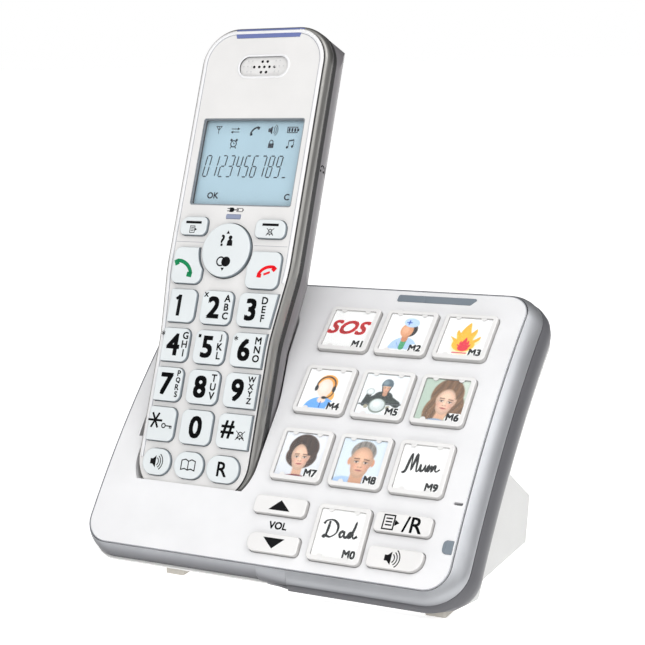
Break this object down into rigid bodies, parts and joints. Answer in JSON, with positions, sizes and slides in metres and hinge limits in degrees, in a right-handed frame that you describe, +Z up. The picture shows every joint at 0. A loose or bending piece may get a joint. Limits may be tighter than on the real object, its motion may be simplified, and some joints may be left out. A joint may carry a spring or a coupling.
{
  "type": "cordless phone with base",
  "caption": "Cordless telephone handset standing in a charging base whose sloping panel carries large photo memory keys, volume keys and a stand foot.",
  "frame": {"origin": "middle of the object's footprint box, on the surface it stands on, handset docked", "axes": "+X to the right and +Y to the back as seen by the user, +Z up"},
  "size_m": [0.1388, 0.1006, 0.1693],
  "materials": {
    "white_plastic": "satin moulded white",
    "key_plastic": "satin cool white",
    "photo_key_plastic": "satin warm white",
    "silver_paint": "metallic silver paint on plastic",
    "champagne_paint": "metallic champagne silver paint on plastic",
    "dark_grey_plastic": "satin dark grey",
    "light_grey_plastic": "fine spark texture",
    "back_grey_plastic": "satin warm grey",
    "violet_lens": "translucent blue violet",
    "charge_lens": "translucent blue grey",
    "smoke_lens": "translucent smoke grey",
    "clear_window": "clear",
    "lcd_glass": "pale blue display",
    "circuit_board": "green solder mask",
    "silicone": "grey silicone",
    "black_plastic": "matt black",
    "steel": "zinc plated",
    "contact_metal": "gold flash",
    "battery_wrap": "printed sleeve",
    "rubber": "pale grey beige rubber",
    "print_ink": "screen printed black",
    "card_paper": "printed card under a clear cover"
  },
  "bodies": {
    "base": {"base_front_cover": "white_plastic", "base_trim_ring": "silver_paint", "base_mid_frame": "dark_grey_plastic", "base_rear_shell": "light_grey_plastic", "base_board": "circuit_board", "base_keypad_mat": "silicone", "base_loudspeaker": "black_plastic", "base_light_lenses": "smoke_lens", "base_screws": "steel", "rubber_feet": "rubber", "cradle_contacts": "contact_metal"},
    "handset": {"handset_front_cover": "white_plastic", "handset_trim_band": "champagne_paint", "handset_back_cover": "back_grey_plastic", "handset_ringer_lens": "violet_lens", "handset_board": "circuit_board", "handset_loudspeaker": "black_plastic", "handset_charge_pads": "contact_metal", "handset_screws": "steel", "handset_keypad_mat": "silicone", "charge_indicator_lens": "charge_lens", "display_window": "clear_window", "lcd_module": "lcd_glass", "earpiece": "black_plastic", "battery_cells": "battery_wrap"},
    "battery_cover": {"battery_cover": "back_grey_plastic"},
    "key_nav": {"key_nav": "key_plastic"},
    "key_1": {"key_1": "key_plastic"},
    "key_2": {"key_2": "key_plastic"},
    "key_3": {"key_3": "key_plastic"},
    "key_4": {"key_4": "key_plastic"},
    "key_5": {"key_5": "key_plastic"},
    "key_6": {"key_6": "key_plastic"},
    "key_7": {"key_7": "key_plastic"},
    "key_8": {"key_8": "key_plastic"},
    "key_9": {"key_9": "key_plastic"},
    "key_star": {"key_star": "key_plastic"},
    "key_0": {"key_0": "key_plastic"},
    "key_hash": {"key_hash": "key_plastic"},
    "key_soft_left": {"key_soft_left": "key_plastic"},
    "key_soft_right": {"key_soft_right": "key_plastic"},
    "key_talk": {"key_talk": "key_plastic"},
    "key_end": {"key_end": "key_plastic"},
    "key_speaker": {"key_speaker": "key_plastic"},
    "key_phonebook": {"key_phonebook": "key_plastic"},
    "key_recall": {"key_recall": "key_plastic"},
    "photo_key_1": {"photo_key_1": "photo_key_plastic"},
    "photo_key_2": {"photo_key_2": "photo_key_plastic"},
    "photo_key_3": {"photo_key_3": "photo_key_plastic"},
    "photo_key_4": {"photo_key_4": "photo_key_plastic"},
    "photo_key_5": {"photo_key_5": "photo_key_plastic"},
    "photo_key_6": {"photo_key_6": "photo_key_plastic"},
    "photo_key_7": {"photo_key_7": "photo_key_plastic"},
    "photo_key_8": {"photo_key_8": "photo_key_plastic"},
    "photo_key_9": {"photo_key_9": "photo_key_plastic"},
    "photo_key_0": {"photo_key_0": "photo_key_plastic"},
    "volume_up_key": {"volume_up_key": "key_plastic"},
    "volume_down_key": {"volume_down_key": "key_plastic"},
    "menu_key": {"menu_key": "key_plastic"},
    "base_speaker_key": {"base_speaker_key": "key_plastic"}
  },
  "joints": [
    {"name": "handset_lift", "type": "slide", "parent": "base", "child": "handset", "axis": [0, 0.4179, 0.9085], "range_m": [0, 0.15]},
    {"name": "battery_cover_slide", "type": "slide", "parent": "handset", "child": "battery_cover", "axis": [0, -0.4179, -0.9085], "range_m": [0, 0.0035]},
    {"name": "nav_rock", "type": "hinge", "parent": "handset", "child": "key_nav", "pos_m": [-0.0341, 0.00009, 0.09695], "axis": [1, 0, 0], "range_deg": [-3.5, 3.5], "stiffness_Nm_per_rad": 0.05},
    {"name": "key_1_press", "type": "slide", "parent": "handset", "child": "key_1", "axis": [0, 0.9085, -0.4179], "range_m": [0, 0.0008], "stiffness_N_per_m": 500},
    {"name": "key_2_press", "type": "slide", "parent": "handset", "child": "key_2", "axis": [0, 0.9085, -0.4179], "range_m": [0, 0.0008], "stiffness_N_per_m": 500},
    {"name": "key_3_press", "type": "slide", "parent": "handset", "child": "key_3", "axis": [0, 0.9085, -0.4179], "range_m": [0, 0.0008], "stiffness_N_per_m": 500},
    {"name": "key_4_press", "type": "slide", "parent": "handset", "child": "key_4", "axis": [0, 0.9085, -0.4179], "range_m": [0, 0.0008], "stiffness_N_per_m": 500},
    {"name": "key_5_press", "type": "slide", "parent": "handset", "child": "key_5", "axis": [0, 0.9085, -0.4179], "range_m": [0, 0.0008], "stiffness_N_per_m": 500},
    {"name": "key_6_press", "type": "slide", "parent": "handset", "child": "key_6", "axis": [0, 0.9085, -0.4179], "range_m": [0, 0.0008], "stiffness_N_per_m": 500},
    {"name": "key_7_press", "type": "slide", "parent": "handset", "child": "key_7", "axis": [0, 0.9085, -0.4179], "range_m": [0, 0.0008], "stiffness_N_per_m": 500},
    {"name": "key_8_press", "type": "slide", "parent": "handset", "child": "key_8", "axis": [0, 0.9085, -0.4179], "range_m": [0, 0.0008], "stiffness_N_per_m": 500},
    {"name": "key_9_press", "type": "slide", "parent": "handset", "child": "key_9", "axis": [0, 0.9085, -0.4179], "range_m": [0, 0.0008], "stiffness_N_per_m": 500},
    {"name": "key_star_press", "type": "slide", "parent": "handset", "child": "key_star", "axis": [0, 0.9085, -0.4179], "range_m": [0, 0.0008], "stiffness_N_per_m": 500},
    {"name": "key_0_press", "type": "slide", "parent": "handset", "child": "key_0", "axis": [0, 0.9085, -0.4179], "range_m": [0, 0.0008], "stiffness_N_per_m": 500},
    {"name": "key_hash_press", "type": "slide", "parent": "handset", "child": "key_hash", "axis": [0, 0.9085, -0.4179], "range_m": [0, 0.0008], "stiffness_N_per_m": 500},
    {"name": "key_soft_left_press", "type": "slide", "parent": "handset", "child": "key_soft_left", "axis": [0, 0.9085, -0.4179], "range_m": [0, 0.0008], "stiffness_N_per_m": 500},
    {"name": "key_soft_right_press", "type": "slide", "parent": "handset", "child": "key_soft_right", "axis": [0, 0.9085, -0.4179], "range_m": [0, 0.0008], "stiffness_N_per_m": 500},
    {"name": "key_talk_press", "type": "slide", "parent": "handset", "child": "key_talk", "axis": [0, 0.9085, -0.4179], "range_m": [0, 0.0008], "stiffness_N_per_m": 500},
    {"name": "key_end_press", "type": "slide", "parent": "handset", "child": "key_end", "axis": [0, 0.9085, -0.4179], "range_m": [0, 0.0008], "stiffness_N_per_m": 500},
    {"name": "key_speaker_press", "type": "slide", "parent": "handset", "child": "key_speaker", "axis": [0, 0.9085, -0.4179], "range_m": [0, 0.0008], "stiffness_N_per_m": 500},
    {"name": "key_phonebook_press", "type": "slide", "parent": "handset", "child": "key_phonebook", "axis": [0, 0.9085, -0.4179], "range_m": [0, 0.0008], "stiffness_N_per_m": 500},
    {"name": "key_recall_press", "type": "slide", "parent": "handset", "child": "key_recall", "axis": [0, 0.9085, -0.4179], "range_m": [0, 0.0008], "stiffness_N_per_m": 500},
    {"name": "photo_key_1_press", "type": "slide", "parent": "base", "child": "photo_key_1", "axis": [0, 0.6233, -0.782], "range_m": [0, 0.0009], "stiffness_N_per_m": 500},
    {"name": "photo_key_2_press", "type": "slide", "parent": "base", "child": "photo_key_2", "axis": [0, 0.6233, -0.782], "range_m": [0, 0.0009], "stiffness_N_per_m": 500},
    {"name": "photo_key_3_press", "type": "slide", "parent": "base", "child": "photo_key_3", "axis": [0, 0.6233, -0.782], "range_m": [0, 0.0009], "stiffness_N_per_m": 500},
    {"name": "photo_key_4_press", "type": "slide", "parent": "base", "child": "photo_key_4", "axis": [0, 0.6784, -0.7347], "range_m": [0, 0.0009], "stiffness_N_per_m": 500},
    {"name": "photo_key_5_press", "type": "slide", "parent": "base", "child": "photo_key_5", "axis": [0, 0.6784, -0.7347], "range_m": [0, 0.0009], "stiffness_N_per_m": 500},
    {"name": "photo_key_6_press", "type": "slide", "parent": "base", "child": "photo_key_6", "axis": [0, 0.6784, -0.7347], "range_m": [0, 0.0009], "stiffness_N_per_m": 500},
    {"name": "photo_key_7_press", "type": "slide", "parent": "base", "child": "photo_key_7", "axis": [0, 0.729, -0.6845], "range_m": [0, 0.0009], "stiffness_N_per_m": 500},
    {"name": "photo_key_8_press", "type": "slide", "parent": "base", "child": "photo_key_8", "axis": [0, 0.729, -0.6845], "range_m": [0, 0.0009], "stiffness_N_per_m": 500},
    {"name": "photo_key_9_press", "type": "slide", "parent": "base", "child": "photo_key_9", "axis": [0, 0.729, -0.6845], "range_m": [0, 0.0009], "stiffness_N_per_m": 500},
    {"name": "photo_key_0_press", "type": "slide", "parent": "base", "child": "photo_key_0", "axis": [0, 0.7762, -0.6305], "range_m": [0, 0.0009], "stiffness_N_per_m": 500},
    {"name": "volume_up_key_press", "type": "slide", "parent": "base", "child": "volume_up_key", "axis": [0, 0.7641, -0.6451], "range_m": [0, 0.0009], "stiffness_N_per_m": 500},
    {"name": "volume_down_key_press", "type": "slide", "parent": "base", "child": "volume_down_key", "axis": [0, 0.7871, -0.6168], "range_m": [0, 0.0009], "stiffness_N_per_m": 500},
    {"name": "menu_key_press", "type": "slide", "parent": "base", "child": "menu_key", "axis": [0, 0.7654, -0.6435], "range_m": [0, 0.0009], "stiffness_N_per_m": 500},
    {"name": "base_speaker_key_press", "type": "slide", "parent": "base", "child": "base_speaker_key", "axis": [0, 0.7858, -0.6184], "range_m": [0, 0.0009], "stiffness_N_per_m": 500}
  ]
}
